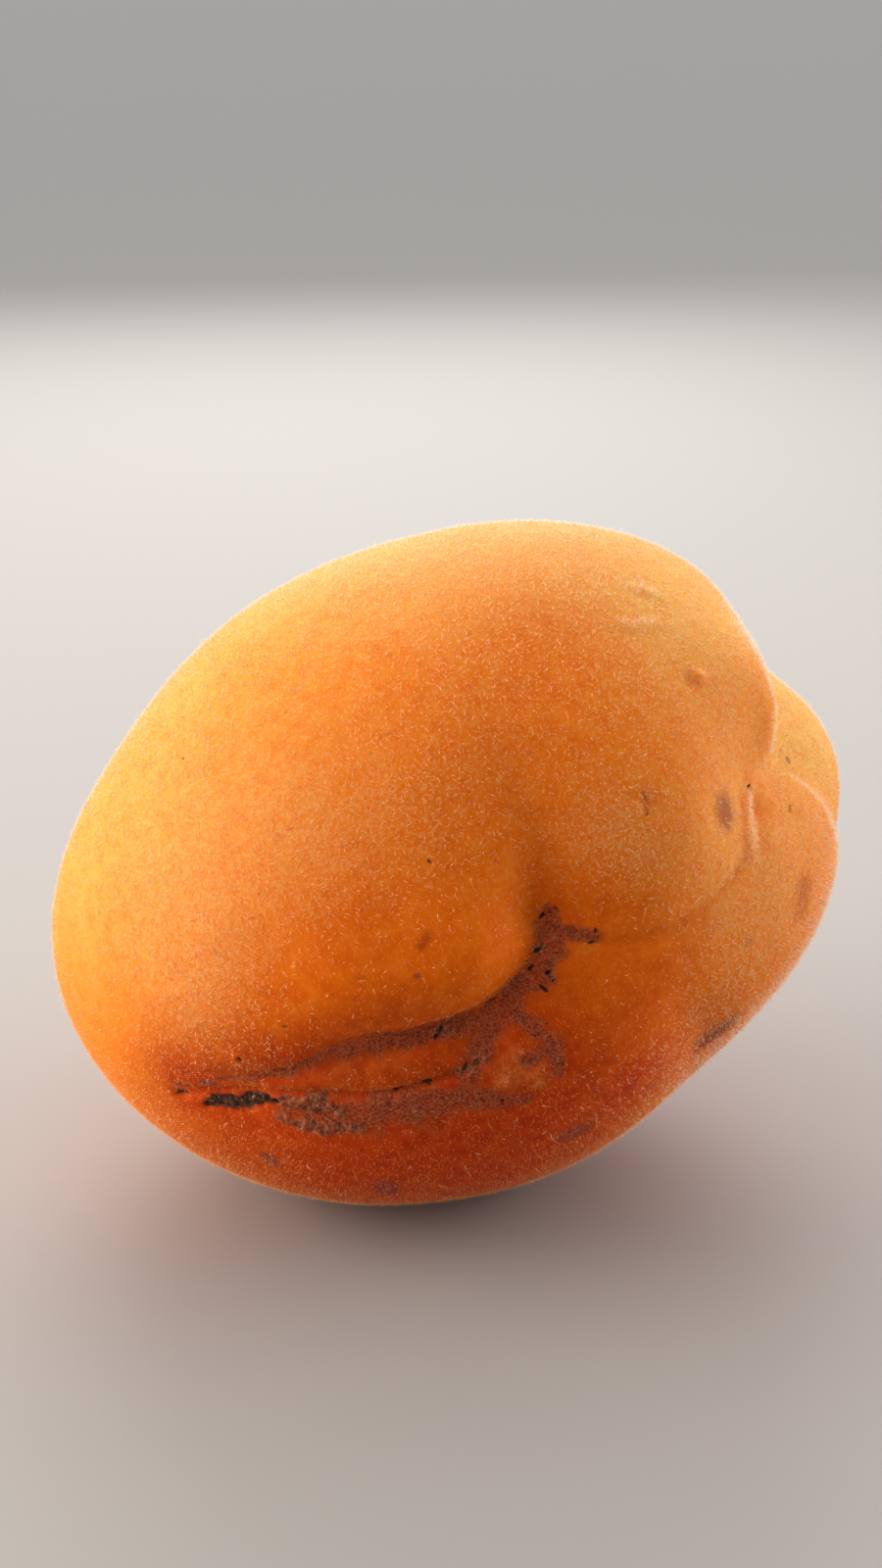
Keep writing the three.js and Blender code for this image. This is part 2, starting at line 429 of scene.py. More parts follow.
# Strokes of each kind of mark: x, y and half the stroke's width, in pixels.
marks = {
    "russet": {
        "hollow": [(561, 934, 11), (561, 953, 17), (560, 972, 16), (551, 990, 17), (532, 1008, 17)],
        "spur to the right": [(574, 952, 9), (592, 953, 8), (608, 955, 9)],
        "band down the lip": [
            (532, 1008, 17),
            (512, 1028, 21),
            (494, 1041, 21),
            (472, 1047, 16),
            (452, 1051, 9),
        ],
        "under the lip": [(455, 1052, 9), (433, 1056, 11), (400, 1061, 11), (372, 1066, 11), (345, 1073, 10)],
        "under the lip, left": [
            (345, 1073, 10),
            (325, 1082, 9),
            (305, 1090, 7),
            (272, 1097, 5),
            (226, 1100, 3.5),
        ],
        "joint of the bands": [(505, 1040, 20), (493, 1062, 16), (484, 1082, 15), (474, 1100, 16)],
        "lower band": [(290, 1130, 14), (345, 1137, 26), (385, 1135, 26), (425, 1130, 26), (460, 1120, 22)],
        "lower band, right": [(460, 1120, 20), (490, 1121, 16), (515, 1123, 10), (540, 1121, 4)],
        "ring": [(530, 1040, 9), (549, 1049, 10), (563, 1062, 11), (569, 1080, 9), (570, 1094, 6)],
        "inside the ring": [(538, 1083, 8), (556, 1070, 9)],
        "lower right": [(722, 1060, 9), (736, 1050, 14)],
    },
    "cork": {
        "tip": [(176, 1104, 2), (196, 1106, 3), (221, 1102, 2.5)],
        "flaking rim": [(274, 1121, 5), (296, 1124, 9), (318, 1127, 11), (341, 1130, 10)],
        "lower rim": [(283, 1139, 4), (306, 1146, 8), (325, 1152, 9), (350, 1153, 7), (372, 1153, 4)],
        "flake by the ring": [(468, 1094, 4), (478, 1088, 7), (490, 1080, 5)],
        "flake under the lip": [(444, 1056, 3), (449, 1050, 5), (462, 1052, 3)],
        "flake in the hollow": [(545, 971, 3), (552, 967, 4)],
        "flake at the fork": [(559, 993, 3), (565, 996, 3)],
    },
    "soot": {
        "pit": [
            (211, 1127, 5),
            (222, 1124, 9),
            (240, 1124, 11),
            (256, 1123, 10),
            (270, 1121, 8),
            (282, 1124, 5),
        ],
        "tip": [(180, 1116, 2), (190, 1116, 2.6)],
        "fleck 1": [(403, 1114, 2.4), (410, 1111, 1.4)],
        "fleck 2": [(432, 1106, 2.4), (439, 1105, 2.2)],
        "fleck 3": [(473, 1092, 2.6), (476, 1086, 2.2)],
        "fleck 4": [(499, 1023, 2.0), (506, 1019, 1.2)],
        "fleck 5": [(444, 1058, 1.8), (450, 1049, 1.8)],
        "fleck 6": [(546, 971, 2.0), (549, 968, 1.6)],
        "fleck 7": [(558, 993, 2.0), (561, 991, 1.4)],
        "fleck 8": [(551, 1006, 1.2), (557, 1011, 2.2)],
        "fleck 9": [(608, 947, 1.4), (608, 951, 1.2)],
        "fleck 10": [(602, 962, 1.6), (606, 961, 1.2)],
        "fleck 11": [(564, 929, 1.2), (567, 931, 1)],
        "fleck 12": [(552, 936, 1.2), (554, 934, 1)],
        "fleck 13": [(540, 989, 1.6), (543, 985, 1.4)],
        "crease": [(764, 801, 1.8), (765, 808, 2.2)],
        "wart": [(244, 1079, 2.6), (245, 1081, 2.6)],
        "dent": [(660, 830, 0.9), (660, 832, 0.8)],
        "lower right": [(738, 1050, 1.4), (740, 1048, 1.0)],
        "on the right lobe": [(806, 822, 0.9), (806, 828, 0.8)],
        "speck 1": [(438, 878, 1), (439, 880, 1)],
        "speck 2": [(186, 773, 1), (187, 774, 1)],
        "speck 3": [(290, 1048, 0.9), (292, 1048, 0.9)],
        "speck 4": [(512, 1122, 1.4), (514, 1126, 1)],
    },
    "bruise": {
        "oval on the upper right lobe": [(740, 825, 17), (741, 831, 17)],
        "under the middle": [(583, 1158, 14), (592, 1154, 14)],
        "at the bottom": [(393, 1210, 13), (396, 1216, 13)],
        "below the speck": [(425, 996, 3), (427, 996, 3)],
        "behind the rim": [(803, 774, 2.4), (805, 777, 2.4)],
        "lower left": [(274, 1181, 9), (277, 1185, 9)],
        "lower right": [(722, 1059, 20), (736, 1049, 22)],
    },
}
hiddenMarks = {  # azimuth, elevation and half the width in fifteenths of a mm
    "russet": {
        "back 1": [(207, 10, 2), (208, 10, 2.4)],
        "back 2": [(210, 12, 4), (212, 13, 3)],
        "back 3": [(213, 10, 2.4), (214, 10.5, 2)],
        "back 4": [(215, 13, 3), (217, 12.5, 2.4)],
    },
    "cork": {"stalk scar": [(123.8, 31.4, 20), (124.8, 31, 20)]},
    "soot": {
        "middle of the stalk scar": [(123.8, 31.4, 3), (124.8, 31, 4)],
        "speck on the back": [(195, 40, 1.4), (195.4, 40.3, 1.4)],
        "speck behind": [(160, -5, 1.2), (160.3, -5, 1.2)],
        "speck beside the russet": [(223, 5, 1.0), (223.4, 5.2, 1.0)],
        "speck above the left end": [(268, 22, 1.1), (268.3, 22, 1.1)],
        "speck low on the back": [(188, -22, 1.1), (188.5, -22, 1.0)],
    },
    "bruise": {
        "back": [(168.5, 16.5, 16), (169.5, 15.5, 16)],
        "left end, behind": [(253.5, -9.5, 12), (252.5, -10.5, 12)],
        "low on the right": [(112, -18, 9), (113, -19, 9)],
    },
}

# Small russet dots scattered over the hidden side.
freckles = {
    "seed": 7,
    "number": 26,
    "azimuth": (100, 275),
    "elevation": (-35, 62),
    "halfWidth": (0.8, 2.2),  # in fifteenths of a mm
    "long": (0.5, 0.3),  # degrees across and up from one end to the other
}

strokes = {
    kind: [Path(points) for points in marks[kind].values()]
    + [Path(points, atBearing) for points in hiddenMarks[kind].values()]
    for kind in marks
}
dice = random.Random(freckles["seed"])
for _ in range(freckles["number"]):
    azimuth = dice.uniform(*freckles["azimuth"])
    elevation = dice.uniform(*freckles["elevation"])
    halfWidth = dice.uniform(*freckles["halfWidth"])
    across, up = freckles["long"]
    ends = [(azimuth, elevation, halfWidth), (azimuth + across, elevation + up, halfWidth)]
    strokes["russet"].append(Path(ends, atBearing))
foldPaths = {name: Path(fold["path"]) for name, fold in folds.items()}
placedSpots = [(atPixel(x, y), radius, rise) for x, y, radius, rise in spots.values()]
placedSpots += [(atBearing(a, e), radius, rise) for a, e, radius, rise in hiddenSpots.values()]


# Halves the sides of the faces that lie within reach of a mark or, if asked, of a fold or a spot.
def refine(thing, reach, foldsToo):
    mesh = thing.data
    centres = rowsOf(mesh.polygons, "center")
    chosen = np.zeros(len(centres), bool)
    for path in sum(strokes.values(), []):
        nearest, width, pixel, _ = path.measure(centres)
        chosen |= nearest < reach * mm + width * pixel
    if foldsToo:
        for path in foldPaths.values():
            chosen |= path.measure(centres)[0] < reach * mm
        for (place, pixel), radius, _ in placedSpots:
            chosen |= np.linalg.norm(centres - np.array(place), axis=1) < reach * mm + radius * pixel
    selectOnly(thing)
    bpy.ops.object.mode_set(mode="EDIT")
    bpy.ops.mesh.select_mode(type="FACE")
    bpy.ops.mesh.select_all(action="DESELECT")
    bpy.ops.object.mode_set(mode="OBJECT")
    mesh.polygons.foreach_set("select", chosen)
    bpy.ops.object.mode_set(mode="EDIT")
    bpy.ops.mesh.subdivide(number_cuts=1)
    bpy.ops.object.mode_set(mode="OBJECT")


for turn, reach in enumerate(skinForm["finerWithin"]):
    refine(skin, reach, foldsToo=turn == 0)
applyModifier(skin, "SMOOTH", **skinForm["smoothingWhenFiner"])
print("skin refined:", len(skin.data.polygons), "faces")


# How far each kind's edge strays, and how soft it is, both as shares of half the stroke's width.
edges = {"russet": (0.55, 0.75), "cork": (0.8, 0.5), "soot": (0.3, 0.55), "bruise": (0.2, 1.0)}


# How strongly a kind of mark covers each point.
def cover(kind, points, stray):
    swing, soft = edges[kind]
    value = np.zeros(len(points))
    for path in strokes[kind]:
        nearest, width, pixel, _ = path.measure(points)
        away = nearest / (width * pixel) + swing * stray
        value = np.maximum(value, 1 - smoothstep(1 - soft, 1 + soft, away))
    return value


noiseStep = Vector((13.7, 7.1, 3.3))


# Waves of noise laid over each other. Each number moves the noise by one more step, so that no two are alike.
def ripple(points, waves, number):
    value = np.zeros(len(points))
    for i, (wave, height) in enumerate(waves, start=number):
        away = noiseStep * i
        value += height * np.array([noise.noise(Vector(point) / (wave * mm) + away) for point in points])
    return value


# The skin keeps a number for each of its corners, which its material and the down read.
def keep(name, values):
    attribute = skin.data.attributes.get(name) or skin.data.attributes.new(name, "FLOAT", "POINT")
    attribute.data.foreach_set("value", values.astype(np.float32))


def kept(name):
    flat = np.empty(len(skin.data.vertices), np.float32)
    skin.data.attributes[name].data.foreach_get("value", flat)
    return flat.astype(float)


# Moves a mesh's corners, none of them below the surface that the fruit lies on.
def moveCorners(mesh, points):
    points[:, 2] = np.maximum(points[:, 2], 0)
    mesh.vertices.foreach_set("co", points.astype(np.float32).ravel())
    mesh.update()


def foldsAndSpots(points, normals):
    rise = np.zeros(len(points))
    for name, fold in folds.items():
        nearest, strength, _, side = foldPaths[name].measure(points, normals)
        signed = nearest * side / mm
        near = nearest < skinForm["foldReach"] * mm
        for offset, width, height in fold["profile"]:
            rise += near * strength * height * hill(signed - offset, width)
    for (place, pixel), radius, height in placedSpots:
        rise += height * hill(np.linalg.norm(points - np.array(place), axis=1), radius * pixel)
    return rise


# How far each kind of dry scar stands above the skin, and how tall its crumbs are, in mm.
crusts = {"cork": (0.10, 0.24), "soot": (-0.24, 0.22), "russet": (-0.05, 0.06)}


def shapeSkin():
    mesh = skin.data
    points, normals = rowsOf(mesh.vertices, "co"), rowsOf(mesh.vertex_normals, "vector")
    stray = ripple(points, skinForm["stray"], 4)
    covers = {kind: cover(kind, points, stray) for kind in edges}
    crusty = sum(covers[kind] for kind in crusts) > 0
    crumbs = np.zeros(len(points))
    crumbs[crusty] = ripple(points[crusty], skinForm["crumbs"], 2)

    rise = ripple(points, skinForm["rises"], 0) + foldsAndSpots(points, normals)
    for kind, (height, crumbHeight) in crusts.items():
        rise += covers[kind] * (height + crumbHeight * crumbs)
    moveCorners(mesh, points + normals * rise[:, None] * mm)
    for kind, value in covers.items():
        keep(kind, value)
    selectOnly(skin)
    bpy.ops.object.shade_smooth()


shapeSkin()
print("skin shaped")

# Where the skin's colour and its down turn: x and y, or azimuth and elevation where hidden, then a radius in
# mm and how far it turns.
zones = {
    # Painted shade and painted reflected light: darker reddish skin towards the bottom, and a painted glow by
    # the scar's left end.
    "paintedShadeRed": {
        "seen": [
            (430, 1190, 13, 1.0),
            (600, 1125, 11, 0.7),
            (230, 1150, 8, 0.35),
            (300, 1100, 4, 0.5),
            (200, 1108, 3, 0.8),
        ],
        "hidden": [(0, -80, 20, 0.8), (110, -40, 12, 0.5)],
    },
    # Painted shade: deeper orange in the hollows, up the valley and over the less lit middle, and a painted
    # glow in the hollow behind the speck.
    "deepShadeAndGlow": {
        "seen": [
            (560, 650, 6, 0.7),
            (500, 800, 7, 0.7),
            (350, 960, 7, 0.6),
            (300, 1045, 5, 0.8),
            (430, 1010, 5, 0.7),
            (600, 940, 5, 0.9),
            (776, 820, 1.6, 0.9),
            (706, 696, 0.6, 1.0),
        ],
        "hidden": [(200, -10, 12, 0.6), (250, 30, 8, 0.5), (150, -25, 9, 0.5)],
    },
    # Partly the fruit's own yellower skin by the stalk, partly painted light: paler where the top, the left
    # side and the rear lobe catch the light, and a painted glow in the hollow behind the speck.
    "yellowAndPaintedLight": {
        "seen": [
            (825, 730, 7, 1.0),
            (180, 760, 16, 0.4),
            (500, 545, 14, 0.35),
            (700, 625, 5, 0.5),
            (90, 950, 10, 0.3),
            (675, 590, 8, 0.5),
            (805, 740, 3, 1.0),
            (740, 850, 7, 0.35),
            (776, 816, 0.9, 0.8),
        ],
        "hidden": [(180, 30, 22, 0.5), (124, 31, 7, 1.0), (230, 0, 12, 0.4)],
    },
    # Orange-brown stains; the same tone in the dent and along the crease under the upper right lobe is
    # painted shade.
    "stainedAndShaded": {
        "seen": [
            (300, 1092, 1.2, 0.7),
            (350, 1088, 1.8, 1.0),
            (400, 1082, 2.0, 0.6),
            (445, 1078, 1.5, 0.3),
            (485, 1060, 2.0, 0.8),
            (560, 1072, 1.8, 0.7),
            (525, 1105, 2.2, 0.6),
            (430, 1130, 2.6, 0.8),
            (340, 1135, 2.4, 0.8),
            (550, 990, 1.6, 0.7),
            (731, 1054, 2.0, 0.7),
            (429, 966, 0.4, 1.0),
            (434, 959, 0.35, 1.0),
            (438, 952, 0.35, 0.8),
            (740, 905, 0.4, 0.5),
            (720, 925, 0.4, 0.5),
            (700, 940, 0.5, 0.5),
            (680, 950, 0.5, 0.5),
            (657, 810, 0.26, 0.8),
            (659, 817, 0.30, 0.9),
            (660, 824, 0.26, 0.8),
            (660, 830, 0.20, 0.9),
            (765, 963, 0.5, 0.7),
            (821, 905, 1.2, 0.7),
            (818, 930, 1.2, 0.6),
        ],
        "hidden": [(212, 12, 1.8, 0.6), (124.3, 31.2, 2.2, 0.8), (121, 36, 1.4, 0.5), (130, 28, 1.2, 0.4)],
    },
    "callused": {
        "seen": [
            (516, 1101, 0.7, 1.0),
            (527, 1078, 0.8, 0.7),
            (549, 1100, 0.8, 0.8),
            (530, 1090, 2.0, 0.4),
            (714, 690, 0.45, 0.6),
        ],
        "hidden": [(206, 3, 1.2, 0.5)],
    },
    # Where the down is thicker and paler; the skin's colour layer that reads this is a painted sheen of the
    # down where it catches the light.
    "hoary": {
        "seen": [
            (778, 680, 2.5, 1.0),
            (792, 740, 2.5, 1.0),
            (800, 785, 2, 1.0),
            (205, 940, 6.5, 1.0),
            (200, 990, 4, 1.0),
            (300, 870, 6, 0.9),
            (420, 820, 5, 0.6),
            (500, 770, 5, 0.4),
            (630, 860, 4, 1.0),
            (700, 620, 8, 1.0),
            (740, 860, 5, 0.6),
            (740, 740, 6, 0.6),
            (660, 865, 1.0, 1.0),
            (775, 885, 0.9, 1.0),
            (745, 935, 0.9, 1.0),
            (805, 850, 1.5, 0.8),
            (790, 715, 3, 1.0),
            (830, 730, 8, 1.0),
            (838, 822, 4, 1.0),
            (600, 560, 8, 1.0),
            (450, 560, 12, 0.8),
            (160, 800, 10, 0.6),
            (800, 900, 6, 1.0),
            (760, 960, 3, 0.7),
            (700, 1060, 5, 0.4),
        ],
        "hidden": [(180, 40, 26, 0.7), (240, 10, 16, 0.6), (120, 0, 14, 0.6)],
    },
    "sparse": {
        "seen": [
            (500, 790, 7, 0.4),
            (560, 640, 5, 0.4),
            (350, 950, 5, 0.4),
            (330, 1035, 5, 0.9),
            (450, 1010, 5, 0.8),
            (610, 950, 4, 0.8),
            (630, 1050, 6, 0.6),
            (430, 1180, 12, 0.6),
            (777, 818, 1.0, 1.0),
            (741, 827, 0.8, 1.0),
        ],
        "hidden": [(60, -70, 14, 0.4)],
    },
}

# Lines where the down stands up against the light: half the line's width in mm, then x, y and how thick
# the down is.
rims = {
    "upper right lobe, above": (0.8, [(742, 620, 0.4), (757, 642, 0.7), (769, 662, 1)]),
    "upper right lobe": (0.45, [(776, 676, 1), (783, 706, 1), (785, 722, 1), (783, 742, 1), (780, 760, 1)]),
    "upper edge of the right lobe": (0.45, [(815, 797, 1), (832, 812, 1), (843, 832, 1), (849, 852, 1)]),
    "right lobe": (2.4, [(850, 862, 0.3), (850, 882, 0.35), (846, 900, 0.35), (824, 958, 0.35)]),
    "below the right lobe": (2.4, [(824, 958, 0.35), (798, 999, 0.35), (764, 1038, 0.35), (743, 1058, 0.3)]),
    "lower right": (2.4, [(743, 1058, 0.3), (721, 1078, 0.25), (699, 1098, 0.15)]),
    "beside the speck": (0.45, [(764, 812, 1), (764, 833, 1), (766, 851, 1), (767, 870, 1)]),
    "long ridge near the top": (0.45, [(640, 638, 0.5), (668, 636, 0.5)]),
    "short ridge near the top": (0.45, [(643, 599, 0.5), (668, 607, 0.5)]),
}


def layZones():
    points = rowsOf(skin.data.vertices, "co")
    for name, zone in zones.items():
        value = np.zeros(len(points))
        spread = [(atPixel(x, y)[0], radius, amount) for x, y, radius, amount in zone["seen"]]
        spread += [(atBearing(a, e)[0], radius, amount) for a, e, radius, amount in zone["hidden"]]
        for place, radius, amount in spread:
            away = np.linalg.norm(points - np.array(place), axis=1) / mm
            value = 1 - (1 - value) * (1 - amount * hill(away, radius))
        keep(name, value)
    fringed = np.zeros(len(points))
    for halfWidth, line in rims.values():
        nearest, amount, _, _ = Path(line).measure(points)
        fringed = np.maximum(fringed, amount * hill(nearest / mm, halfWidth))
    keep("fringed", fringed)


layZones()

skinLook = {
    "ground": "#f67e02",
    "patterns": {  # each noise's size in mm, its detail and its roughness
        "broad": (6, 2, 0.5),
        "mottle": (1.1, 4, 0.6),
        "ragged": (0.8, 5, 0.7),
        "crumb": (0.32, 4, 0.7),
        "fine": (0.16, 2, 0.5),  # the skin's real cells are finer, and wouldn't show
    },
    "cells": {  # how many lie along a mm
        "scales": 4.6,
        "dots": 2.4,  # as far apart as the tufts of down
    },
    # The sound skin's mottling: a pattern, where it starts and is full, its most and its tone. It is clouds
    # about a mm across, paler and deeper, and small pale dots that are painted glints of the down's tips.
    "mottling": [
        ("mottle", 0.52, 0.80, 0.30, "#fcb040"),
        ("mottle", 0.48, 0.25, 0.30, "#dc5000"),
        ("dots", 0.30, 0.05, 0.20, "#ffb860"),
    ],
    # Each layer: the attribute that places it, the pattern that breaks up its edge and how much, where it
    # starts and is full, its most, the pattern of its two tones, the dark tone and the light one. The sound
    # skin's layers lie under its mottling, and the painted shade at the bottom, the painted sheen of the down
    # and the marks over it.
    "soundLayers": {
        # partly the skin's own colour, partly painted light on the lit top and sides
        "yellowAndPaintedLight": ("yellowAndPaintedLight", "broad", 0.5, 0.0, 1.0, 1.0, "mottle", "#fcb040", "#fcc05c"),
        # painted shade and painted glow in the hollows
        "deepShadeAndGlow": ("deepShadeAndGlow", "broad", 0.5, 0.0, 1.0, 0.6, "mottle", "#e46000", "#ec6c00"),
    },
    "upperLayers": {
        # painted shade and painted reflected light, reddish towards the bottom
        "paintedShadeRed": ("paintedShadeRed", "broad", 0.5, 0.0, 1.0, 1.0, "mottle", "#b83000", "#d04400"),
        # painted sheen: the skin paler where the down catches the light
        "paintedDownSheen": ("hoary", "crumb", 2.6, 0.2, 1.3, 0.45, "fine", "#ec9a40", "#ffd088"),
        # stains, and painted shade in the dent and along the crease
        "stainedAndShaded": ("stainedAndShaded", "mottle", 0.5, 0.1, 1.0, 0.85, "mottle", "#a83c08", "#c85810"),
        "bruise": ("bruise", "mottle", 0.3, 0.0, 1.0, 0.7, "crumb", "#78342c", "#8c463c"),
        "callused": ("callused", "crumb", 1.2, 0.2, 1.0, 0.6, "crumb", "#c05018", "#e88c48"),
        "russet": ("russet", "mottle", 1.6, 0.15, 1.2, 0.95, "fine", "#7c3014", "#b86040"),
        "russet dots": ("russet", "crumb", 3.0, 1.3, 1.7, 0.6, "fine", "#4c1c0e", "#642812"),
        "cork": ("cork", "ragged", 2.2, 0.2, 0.8, 0.85, "crumb", "#6c2c18", "#b4704e"),
        "soot": ("soot", "crumb", 1.4, 0.3, 0.85, 1.0, "crumb", "#160d0a", "#6c4836"),
    },
    "tones": (0.36, 0.64),  # where a pattern gives only the dark tone, and only the light one
    "roughness": (0.5, 0.68),
    "russetRoughness": 0.3,  # added
    "poreBump": {"Strength": 0.5, "Distance": 0.03 * mm},
    "scaleBump": {"Strength": 0.9, "Distance": 0.10 * mm},
    "scaleRise": {"From Min": 0.5, "From Max": 0.15, "To Min": 0.35, "To Max": 0.65},  # edge to middle
    "shader": {
        "Subsurface Weight": 0.6,
        "Subsurface Radius": (1.0, 0.32, 0.05),
        "Subsurface Scale": 1.4 * mm,
        "Specular IOR Level": 0.07,
        "Sheen Weight": 0.20,
        "Sheen Roughness": 0.2,
        "Sheen Tint": linear("#ffcf95"),
    },
}


def makePatterns(tree):
    coords = addNode(tree, "ShaderNodeTexCoord")
    inMm = addNode(
        tree,
        "ShaderNodeVectorMath",
        {"operation": "SCALE", "Scale": 1 / mm},
        {0: coords.outputs["Object"]},
    )
    where = {"Vector": inMm.outputs[0]}
    patterns = {}
    for name, (size, detail, roughness) in skinLook["patterns"].items():
        settings = {"Scale": 1 / size, "Detail": detail, "Roughness": roughness}
        patterns[name] = addNode(tree, "ShaderNodeTexNoise", settings, where).outputs["Fac"]
    for name, number in skinLook["cells"].items():
        cells = addNode(tree, "ShaderNodeTexVoronoi", {"Scale": number}, where)
        patterns[name] = cells.outputs["Distance"]
    return patterns


def mottle(tree, colour, patterns):
    for pattern, starts, full, most, tone in skinLook["mottling"]:
        share = addNode(
            tree,
            "ShaderNodeMapRange",
            {"From Min": starts, "From Max": full, "To Max": most},
            {"Value": patterns[pattern]},
        )
        laid = addNode(
            tree,
            "ShaderNodeMix",
            {"data_type": "RGBA", 7: linear(tone)},
            {0: share.outputs[0], 6: colour},
        )
        colour = laid.outputs[2]
    return colour


# Lays one layer over a colour. Gives the new colour, and how much of it the layer is.
def layOver(tree, colour, layer, patterns):
    place, pattern, swing, starts, full, most, toned, dark, light = layer
    given = addNode(tree, "ShaderNodeAttribute", {"attribute_name": place})
    centred = addNode(tree, "ShaderNodeMath", {"operation": "SUBTRACT", 1: 0.5}, {0: patterns[pattern]})
    broken = addNode(
        tree,
        "ShaderNodeMath",
        {"operation": "MULTIPLY_ADD", 1: swing},
        {0: centred.outputs[0], 2: given.outputs["Fac"]},
    )
    share = addNode(
        tree,
        "ShaderNodeMapRange",
        {"interpolation_type": "SMOOTHSTEP", "From Min": starts, "From Max": full, "To Max": most},
        {"Value": broken.outputs[0]},
    )
    onlyDark, onlyLight = skinLook["tones"]
    tone = addNode(
        tree,
        "ShaderNodeMapRange",
        {"From Min": onlyDark, "From Max": onlyLight},
        {"Value": patterns[toned]},
    )
    tint = addNode(
        tree,
        "ShaderNodeMix",
        {"data_type": "RGBA", 6: linear(dark), 7: linear(light)},
        {0: tone.outputs[0]},
    )
    laid = addNode(
        tree,
        "ShaderNodeMix",
        {"data_type": "RGBA"},
        {0: share.outputs[0], 6: colour, 7: tint.outputs[2]},
    )
    return laid.outputs[2], share.outputs[0]


# Fine pores all over, and the scales of the russet net.
def makeRelief(tree, patterns, russet):
    scales = addNode(tree, "ShaderNodeMapRange", skinLook["scaleRise"], {"Value": patterns["scales"]})
    raised = addNode(tree, "ShaderNodeMath", {"operation": "MULTIPLY"}, {0: scales.outputs[0], 1: russet})
    pores = addNode(tree, "ShaderNodeBump", skinLook["poreBump"], {"Height": patterns["fine"]})
    return addNode(
        tree,
        "ShaderNodeBump",
        skinLook["scaleBump"],
        {"Height": raised.outputs[0], "Normal": pores.outputs[0]},
    ).outputs[0]


# Ripe apricot skin: thin and matt over juicy flesh, so light sinks in and glows back orange. Under the down
# it is softly mottled, and the scar is dry cork.
def makeSkinMaterial():
    material = bpy.data.materials.new("apricot skin")
    material.use_nodes = True
    tree = material.node_tree
    shader = tree.nodes["Principled BSDF"]
    for name, value in skinLook["shader"].items():
        shader.inputs[name].default_value = value
    patterns = makePatterns(tree)

    ground = addNode(tree, "ShaderNodeRGB")
    ground.outputs[0].default_value = linear(skinLook["ground"])
    colour = ground.outputs[0]
    shares = {}
    for name, layer in skinLook["soundLayers"].items():
        colour, shares[name] = layOver(tree, colour, layer, patterns)
    colour = mottle(tree, colour, patterns)
    for name, layer in skinLook["upperLayers"].items():
        colour, shares[name] = layOver(tree, colour, layer, patterns)
    tree.links.new(colour, shader.inputs["Base Color"])

    smoothest, roughest = skinLook["roughness"]
    rough = addNode(
        tree,
        "ShaderNodeMapRange",
        {"To Min": smoothest, "To Max": roughest},
        {"Value": patterns["mottle"]},
    )
    rougher = addNode(
        tree,
        "ShaderNodeMath",
        {"operation": "MULTIPLY_ADD", 1: skinLook["russetRoughness"], "use_clamp": True},
        {0: shares["russet"], 2: rough.outputs[0]},
    )
    tree.links.new(rougher.outputs[0], shader.inputs["Roughness"])
    tree.links.new(makeRelief(tree, patterns, shares["russet"]), shader.inputs["Normal"])
    return material


skin.data.materials.append(makeSkinMaterial())
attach(skin, "root")
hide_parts("apricot")
print("skin finished")

hairs = {
    "rootRadius": 0.012 * mm,  # real down is slimmer, and wouldn't show
    "rootDepth": 0.02 * mm,  # how far a hair 1 mm long starts below the skin
    "curlRadius": 0.010 * mm,
    "curl": 70,  # degrees that a loose hair bends
    "curlStretches": 6,  # straight parts along it
    "curlTaper": 0.8,  # how much slimmer it is at its tip
    "tuft": 0.40 * mm,  # between one denser tuft and the next
    "tuftNoise": (0.3, 0.7),  # what the noise is between the tufts, and in them
    "tuftDensity": (0.3, 1.7),  # how dense the down is there, as a share of the mean
    "sizeSeed": 50,  # added to the seed, so that a hair's size doesn't follow its lean
    "russetLoses": 0.8,  # the share of its down that russet skin lacks
    "sparseLoses": 0.75,  # and that a sparse zone lacks
    "sparseBloomLoses": 0.9,
    "standsAbove": (0.3, 1.2),  # mm over the resting surface, from no down to all of it
}

scurf = {
    "onSoot": 0.8,  # how much lies there, as a share of what lies on cork
    "onRusset": 0.10,
    "ruggedness": 0.5,  # how far a chip's corners stray, as a share of its size
    "lump": 0.7 * mm,  # between its bulges, before it is scaled
    "roughness": 0.85,
    "specular": 0.2,
}

